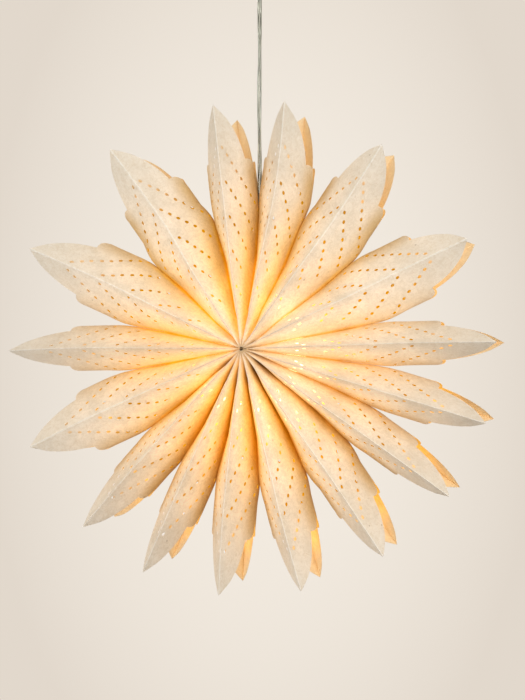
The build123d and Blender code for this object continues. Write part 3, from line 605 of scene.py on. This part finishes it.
# ---------------------------------------------------------------- the paper's cut


def smooth_line(points, per_span):
    """A smooth line through every point, which at each runs level with the line between its neighbours."""
    ends = [points[0], *points, points[-1]]
    line = []
    for i in range(len(points) - 1):
        a, b, c, d = (np.array(p, float) for p in ends[i:i + 4])
        for k in range(per_span):
            t = k / per_span
            place = 2 * b + (c - a) * t + (2 * a - 5 * b + 4 * c - d) * t**2
            line.append(0.5 * (place + (3 * b - a - 3 * c + d) * t**3))
    return [tuple(p) for p in line] + [tuple(points[-1])]


def spaced(start, end, step):
    """Numbers from start towards end, evenly spaced, without the end."""
    count = max(1, round(abs(end - start) / step))
    return [start + (end - start) * i / count for i in range(count)]


def cavity_edge(slope):
    """The cut-out round the lamp on a quarter panel, from mid-depth inwards, as (along, out)."""
    corner = CAVITY_RADIUS - CAVITY_CORNER
    straight = CAVITY_HALF_DEPTH - CAVITY_CORNER
    rim = [*spaced(0.0, straight, RIM_STEP), straight]
    edge = [(CAVITY_RADIUS, mid_depth(CAVITY_RADIUS, slope, before)) for before in rim]
    for i in range(1, CORNER_STEPS + 1):
        turn = math.radians(90 - 90 * i / CORNER_STEPS)
        along = corner + CAVITY_CORNER * math.sin(turn)
        edge.append((along, mid_depth(along, slope, straight + CAVITY_CORNER * math.cos(turn))))
    edge += [(s, mid_depth(s, slope, CAVITY_HALF_DEPTH)) for s in spaced(corner, INNER_END, GRID)[1:]]
    return edge


def panel_outline(slope):
    """The edge of a quarter of a ray's paper, front crease to mid-depth, as (along, out)."""
    valley = STAR_RADIUS - VALLEY_BACK
    outline = [(s, 0.0) for s in spaced(INNER_END, STAR_RADIUS, GRID)]
    leaf = smooth_line(LEAF_EDGE, LEAF_STEPS)
    lobe = smooth_line([*LOBE_EDGE, (VALLEY_BACK, mid_depth(valley, slope))], LOBE_STEPS)
    outline += [(STAR_RADIUS - back, out) for back, out in leaf + lobe]
    outline += [(s, mid_depth(s, slope)) for s in spaced(valley, CAVITY_RADIUS, GRID)[1:]]
    outline += cavity_edge(slope)
    foot = mid_depth(INNER_END, slope, CAVITY_HALF_DEPTH)
    outline += [(INNER_END, out) for out in spaced(foot, 0.0, GRID)]
    return outline


def hole_places(rng):
    """The chevrons' holes on a quarter panel, as (along, out, turn), each a little off its place."""
    tilt = math.radians(ROW_ANGLE)
    along_slack, out_slack = PLACE_SLACK
    places = []
    for back, count in zip(ROW_BACK, ROW_HOLES):
        for k in range(count):
            run = k * ROW_PITCH
            along = STAR_RADIUS - back - run * math.cos(tilt) + rng.uniform(-along_slack, along_slack)
            out = ROW_START + run * math.sin(tilt) + rng.uniform(-out_slack, out_slack)
            places.append((along, out, -tilt + rng.uniform(-TURN_SLACK, TURN_SLACK)))
    return places


def hole_ring(along, out, turn):
    """Points round one oval hole."""
    ring = []
    for i in range(HOLE_SIDES):
        a = 2 * math.pi * i / HOLE_SIDES
        x, y = HOLE_LENGTH / 2 * math.cos(a), HOLE_WIDTH / 2 * math.sin(a)
        ring.append((
            along + x * math.cos(turn) - y * math.sin(turn),
            out + x * math.sin(turn) + y * math.cos(turn),
        ))
    return ring


def inside_outline(points, outline):
    """Which points lie inside a closed outline."""
    px, py = points[:, 0], points[:, 1]
    inside = np.zeros(len(points), bool)
    for (x1, y1), (x2, y2) in zip(outline, outline[1:] + outline[:1]):
        if y1 != y2:
            crosses = (y1 > py) != (y2 > py)
            inside ^= crosses & (px < (x2 - x1) * (py - y1) / (y2 - y1) + x1)
    return inside


def grid_points(outline, edges, holes):
    """The mesh's own points: an even triangle grid inside the outline, clear of its edges and its holes."""
    grid = []
    for row in range(1, int(PANEL_REACH / (GRID * GRID_ROW))):
        for column in range(int(STAR_RADIUS / GRID)):
            grid.append((INNER_END + (column + 0.5 * (row % 2)) * GRID, row * GRID * GRID_ROW))
    grid = np.array(grid)
    grid = grid[inside_outline(grid, outline)]
    gaps = np.array([np.min(np.hypot(*(edges - p).T)) for p in grid])
    grid = grid[gaps > EDGE_CLEAR * GRID]
    for along, out, _ in holes:
        grid = grid[np.hypot(grid[:, 0] - along, grid[:, 1] - out) > HOLE_LENGTH / 2 + HOLE_CLEAR]
    return grid


def cut_panel(slope, rng):
    """A flat quarter of a ray's paper with its holes, as points (along, out) and triangles."""
    outline = panel_outline(slope)
    holes = hole_places(rng)
    rings = [hole_ring(*hole) for hole in holes]
    points, edges = [], []
    for loop in [outline, *rings]:
        first = len(points)
        points += loop
        edges += [(first + i, first + (i + 1) % len(loop)) for i in range(len(loop))]
    points = [Vector(p) for p in [*points, *grid_points(outline, np.array(points), holes)]]
    flat, _, triangles, *_ = delaunay_2d_cdt(points, edges, [], 1, CUT_SLACK)
    flat = np.array([tuple(p) for p in flat])
    middles = np.array([flat[list(t)].mean(axis=0) for t in triangles])
    keep = inside_outline(middles, outline)
    for ring in rings:
        keep &= ~inside_outline(middles, ring)
    return flat, [tuple(t) for t, kept in zip(triangles, keep) if kept]


# ---------------------------------------------------------------- rays


def ray_axes(middle):
    """A ray's directions: along it, and across it clockwise."""
    turn = math.radians(middle)
    return Vector((math.sin(turn), 0, math.cos(turn))), Vector((math.cos(turn), 0, -math.sin(turn)))


def shape_panel(index, flat, side, slope):
    """A quarter panel folded and leant: each point's reach, across and depth, and its share aside."""
    along = flat[:, 0]
    across, depth = fold(along, flat[:, 1], slope)
    aside = across / half_width(along, slope)
    free = (np.clip(along - LEAN_START, 0, None) / (STAR_RADIUS - LEAN_START)) ** LEAN_POWER
    parted = np.clip((along - PART_START) / (PART_END - PART_START), 0, 1) ** 2
    across = side * (across + END_WIDTH[index] * aside * parted) + TIP_LEAN[index] * free
    return along + TIP_STRETCH[index] * free, across, depth, aside


def make_ray(index, low, high, outside, inside):
    """One ray: four quarter panels, joined at both creases and at mid-depth.

    Its mesh keeps, as "flat", each point's place on the flat paper in metres, along and out from the
    crease, and its share aside from crease to valley.
    """
    rng = random.Random(100 + index)
    slope = math.tan(math.radians((high - low) / 2))
    along_axis, across_axis = ray_axes((low + high) / 2)
    vertices, faces, flats = [], [], []
    for side in (1, -1):
        for front in (1, -1):
            flat, triangles = cut_panel(slope, rng)
            first = len(vertices)
            shaped = shape_panel(index, flat, side, slope)
            for (along, out), reach, across, depth, aside in zip(flat, *shaped):
                at = centre + along_axis * reach * MM + across_axis * across * MM
                vertices.append((at.x, front * depth * MM, at.z))
                flats.append((along * MM, out * MM, aside))
            for a, b, c in triangles:
                turned = (a, b, c) if side * front > 0 else (a, c, b)
                faces.append([first + i for i in turned])
    mesh = bpy.data.meshes.new(f"paper_ray_{index + 1:02d}")
    mesh.from_pydata(vertices, [], faces)
    attribute = mesh.attributes.new("flat", "FLOAT_VECTOR", "POINT")
    attribute.data.foreach_set("vector", np.array(flats, np.float32).ravel())
    mesh.materials.append(outside)
    mesh.materials.append(inside)
    ray = bpy.data.objects.new(mesh.name, mesh)
    scene.collection.objects.link(ray)
    finish_paper(ray)
    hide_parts(f"ray_{index + 1:02d}")
    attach(ray, "star")


def finish_paper(ray):
    """Joins the panels' edges, gives the paper its thickness and marks creases and cut edges sharp."""
    work = bmesh.new()
    work.from_mesh(ray.data)
    bmesh.ops.remove_doubles(work, verts=work.verts, dist=WELD * MM)
    bmesh.ops.recalc_face_normals(work, faces=work.faces)
    for face in work.faces:
        face.smooth = True
    work.to_mesh(ray.data)
    work.free()
    sheet = ray.modifiers.new("paper", "SOLIDIFY")
    sheet.thickness = PAPER * MM
    sheet.offset = -1
    sheet.material_offset = 1
    bpy.context.view_layer.update()
    thick = bpy.data.meshes.new_from_object(ray.evaluated_get(bpy.context.evaluated_depsgraph_get()))
    ray.modifiers.clear()
    ray.data = thick
    thick.set_sharp_from_angle(angle=math.radians(SHARP_ANGLE))


def make_rays():
    """The ring of rays, clockwise from the one left of the cord."""
    outside = paper_material("paper_outside", False)
    inside = paper_material("paper_inside", True)
    angle = SEAM_ANGLE - RAY_OPENINGS[0]
    for index, opening in enumerate(RAY_OPENINGS):
        make_ray(index, angle, angle + opening, outside, inside)
        angle += opening


# ---------------------------------------------------------------- cord

CORD_LINE = [
    (0.0, 0.0, CORD_EXIT),
    (0.0, 0.0, -0.100),
    (0.0004, 0.0, -0.150),
    (-0.0006, 0.0002, -0.210),
    (0.0002, 0.0, -0.270),
    (0.0004, -0.0002, -0.330),
    (0.0, 0.0, -0.390),
    (0.0, 0.0, -0.430),
    (0.0, 0.0, CORD_END),
]
TWIST_PITCH = 0.21  # in this length the two cores go once round each other
JACKET_WAIST = 0.12  # half of how far the jacket is drawn in between its cores, as a share of its radius
JACKET_SIDES = 28
CORE_OFFSET = 0.00125
STRANDS = 6  # round each core's middle one
STRAND_RADIUS = 0.00034
STRAND_LAY = 0.00066  # from a core's middle to its outer strands
STRAND_PITCH = 0.016
STRAND_SIDES = 6


def smooth_path(points):
    """Points along the route's NURBS curve, evenly enough spaced for a tube."""
    data = bpy.data.curves.new("route", "CURVE")
    data.dimensions = "3D"
    data.resolution_u = 24
    spline = data.splines.new("NURBS")
    spline.points.add(len(points) - 1)
    for point, place in zip(spline.points, points):
        point.co = (*place, 1)
    spline.order_u = 3
    spline.use_endpoint_u = True
    route = bpy.data.objects.new("route", data)
    scene.collection.objects.link(route)
    mesh = bpy.data.meshes.new_from_object(route)
    path = [v.co.copy() for v in mesh.vertices]
    bpy.data.objects.remove(route)
    bpy.data.meshes.remove(mesh)
    return path


def tube_along(name, routes, sides, radius, material):
    """One mesh of tubes along near-vertical routes. radius(angle, height) is each section's shape."""
    vertices, faces = [], []
    for route in routes:
        first = len(vertices)
        for place in route:
            for i in range(sides):
                a = 2 * math.pi * i / sides
                vertices.append(place + Vector((math.cos(a), math.sin(a), 0)) * radius(a, place.z))
        for ring in range(len(route) - 1):
            for i in range(sides):
                a, b = first + ring * sides + i, first + ring * sides + (i + 1) % sides
                faces.append((a, a + sides, b + sides, b))
        faces.append([first + i for i in range(sides)])
        faces.append([first + (len(route) - 1) * sides + i for i in reversed(range(sides))])
    mesh = bpy.data.meshes.new(name)
    mesh.from_pydata(vertices, [], faces)
    mesh.update()
    for face in mesh.polygons:
        face.use_smooth = len(face.vertices) == 4
    mesh.materials.append(material)
    piece = bpy.data.objects.new(name, mesh)
    scene.collection.objects.link(piece)
    return piece


def strand_route(path, core, strand):
    """A strand's route: round its core, as the core goes round the cord's line."""
    route = []
    for place in path:
        twist = 2 * math.pi * place.z / TWIST_PITCH + core
        lay = 2 * math.pi * (place.z / STRAND_PITCH + strand / STRANDS)
        away = 0.0 if strand == STRANDS else STRAND_LAY
        route.append(place + Vector((
            CORE_OFFSET * math.cos(twist) + away * math.cos(lay),
            CORE_OFFSET * math.sin(twist) + away * math.sin(lay),
            0,
        )))
    return route


def make_cord(jacket_material, strand_material):
    """The clear jacket over two slowly twisted cores, each a bundle of fine silvery strands."""
    path = smooth_path(CORD_LINE)
    radius = CORD_DIAMETER / 2 * MM

    def jacket_shape(angle, height):
        turned = angle - 2 * math.pi * height / TWIST_PITCH
        return radius * (1 - JACKET_WAIST + JACKET_WAIST * math.cos(2 * turned))

    def strand_shape(*_):
        return STRAND_RADIUS

    routes = [strand_route(path, core, strand) for core in (0, math.pi) for strand in range(STRANDS + 1)]
    jacket = tube_along("cord_jacket", [path], JACKET_SIDES, jacket_shape, jacket_material)
    cores = tube_along("cord_cores", routes, STRAND_SIDES, strand_shape, strand_material)
    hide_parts("pendant_cord")
    for piece in (jacket, cores):
        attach(piece, "cord")


# ---------------------------------------------------------------- the lamp and the cup


def dress_nodes():
    """Gives each solid that stays in view its own material."""
    white = plastic("white_plastic", (0.86, 0.86, 0.84), roughness=0.34)
    cup = plastic("cup_plastic", (0.88, 0.88, 0.87), roughness=0.26, mottling=0.02)
    core = plastic("core_plastic", (0.72, 0.70, 0.65), roughness=0.6, mottling=0.06)
    sleeve = plastic("lead_sleeve", (0.42, 0.20, 0.10), roughness=0.5)
    black = plastic("cap_insulator", (0.03, 0.03, 0.03), roughness=0.2)
    steel = metal("plated_steel", (0.74, 0.75, 0.77))
    brass = metal("brass", (0.80, 0.62, 0.30), roughness=0.28)
    glass = clear("bulb_glass", (0.99, 0.97, 0.93), roughness=0.02, ior=1.45)
    jacket = clear("cord_tail_jacket", (0.93, 0.93, 0.91), roughness=0.12, ior=1.4)
    filament = glowing("filament", (1.0, 0.66, 0.28), strength=6.0)
    pad = woven("pad_fabric", (0.88, 0.88, 0.86))
    looks = [
        (white, ["lamp_holder_shell", "lamp_holder_cap", "cord_grip_nut", "cup_grip_body", "cup_grip_nut"]),
        (cup, ["ceiling_cup"]),
        (core, ["terminal_block", "holder_core"]),
        (steel, ["cord_grip_screw", "ceiling_bracket", "cup_side_screws", "star_carrier"]),
        (steel, ["bulb_contact", "bulb_screw_cap", "terminal_screws"]),
        (brass, ["holder_screw_sleeve", "holder_centre_contact", "holder_terminal_screws"]),
        (brass, ["terminal_tubes"]),
        (sleeve, ["holder_leads", "cord_tail_leads"]),
        (jacket, ["cord_tail"]),
        (glass, ["bulb_glass", "bulb_stem"]),
        (filament, ["bulb_filaments"]),
        (black, ["bulb_insulator"]),
        (pad, [f"seam_pad_{half}_{end}" for half in ("loop", "hook") for end in ("front", "back")]),
    ]
    for material, names in looks:
        for name in names:
            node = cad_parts[name]
            node.data.materials.clear()
            node.data.materials.append(material)


# ---------------------------------------------------------------- room and light

FLOOR = -3.3
FLOOR_HALF = 7.0
FLOOR_SHINE = 0.85  # the share of the floor's paleness that is seen but gives no light
# Painted shade: the surround seen by the camera darkens from PALE_MIDDLE to PALE_SIDE away from the
# direction the camera faces.
PALE_MIDDLE = (0.913, 0.847, 0.760)
PALE_SIDE = (0.76, 0.687, 0.604)
PALE_WIDTH = 0.185  # how far aside the surround has darkened fully
PALE_HEIGHT = 0.32  # and how far up or down
WORLD_LIGHT = (0.61, 0.58, 0.535)
KEY_PLACE, KEY_SIZE, KEY_POWER = (1.4, -2.0, -0.25), 1.2, 27
FILL_PLACE, FILL_SIZE, FILL_POWER = (-1.4, -1.8, -1.5), 1.8, 25


def pale_stage(name, colour, share):
    """A pale surface that takes the object's shadow. A share of its paleness is seen but gives no light."""
    m = Shader(name)
    rays = m.add("ShaderNodeLightPath").outputs
    seen = m.math("ADD", rays["Is Camera Ray"], rays["Is Glossy Ray"], clamp=True)
    seen = m.math("ADD", seen, rays["Is Transmission Ray"], clamp=True)
    m.set(Base_Color=tuple(c * (1 - share) for c in colour), Roughness=0.95, Specular_IOR_Level=0.0)
    m.set(Emission_Color=tuple(c * share for c in colour), Emission_Strength=seen)
    return m.material


def make_floor():
    mesh = bpy.data.meshes.new("floor")
    corners = [(x * FLOOR_HALF, y * FLOOR_HALF, FLOOR) for x, y in ((-1, -1), (1, -1), (1, 1), (-1, 1))]
    mesh.from_pydata(corners, [], [(0, 1, 2, 3)])
    mesh.materials.append(pale_stage("floor", PALE_SIDE, FLOOR_SHINE))
    floor = bpy.data.objects.new("floor", mesh)
    scene.collection.objects.link(floor)


def make_surround():
    """A pale surround for the camera, with painted shade darkening it away from its middle, and plain light
    for the object.
    """
    world = bpy.data.worlds.new("surround")
    scene.world = world
    world.use_nodes = True
    w = Nodes(world.node_tree)
    aim = w.add("ShaderNodeTexCoord").outputs["Generated"]
    beside = (math.cos(CAMERA_TURN) / PALE_WIDTH, math.sin(CAMERA_TURN) / PALE_WIDTH, 0)
    aside = w.vector("DOT_PRODUCT", aim, beside, output="Value")
    height = w.vector("DOT_PRODUCT", aim, (0, 0, 1 / PALE_HEIGHT), output="Value")
    away = w.math("ADD", w.times(aside, aside), w.times(height, height), clamp=True)
    rays = w.add("ShaderNodeLightPath").outputs
    seen = w.math("MAXIMUM", rays["Is Camera Ray"], rays["Is Transmission Ray"])
    seen = w.math("MAXIMUM", seen, rays["Is Glossy Ray"])
    light = w.mix(seen, WORLD_LIGHT, w.mix(away, PALE_MIDDLE, PALE_SIDE))
    w.put(w.tree.nodes["Background"].inputs["Color"], light)


def make_light(name, place, size, power):
    """A square soft light that faces the star."""
    data = bpy.data.lights.new(name, "AREA")
    data.size = size
    data.energy = power
    light = bpy.data.objects.new(name, data)
    light.location = place
    light.rotation_euler = (Vector(place) - centre).to_track_quat("Z", "Y").to_euler()
    scene.collection.objects.link(light)


make_camera()
make_rays()
make_cord(clear("cord_jacket", (0.78, 0.81, 0.75), roughness=0.04, ior=1.42), tinned("tinned_strands"))
dress_nodes()
make_floor()
make_surround()
make_light("key", KEY_PLACE, KEY_SIZE, KEY_POWER)
make_light("fill", FILL_PLACE, FILL_SIZE, FILL_POWER)
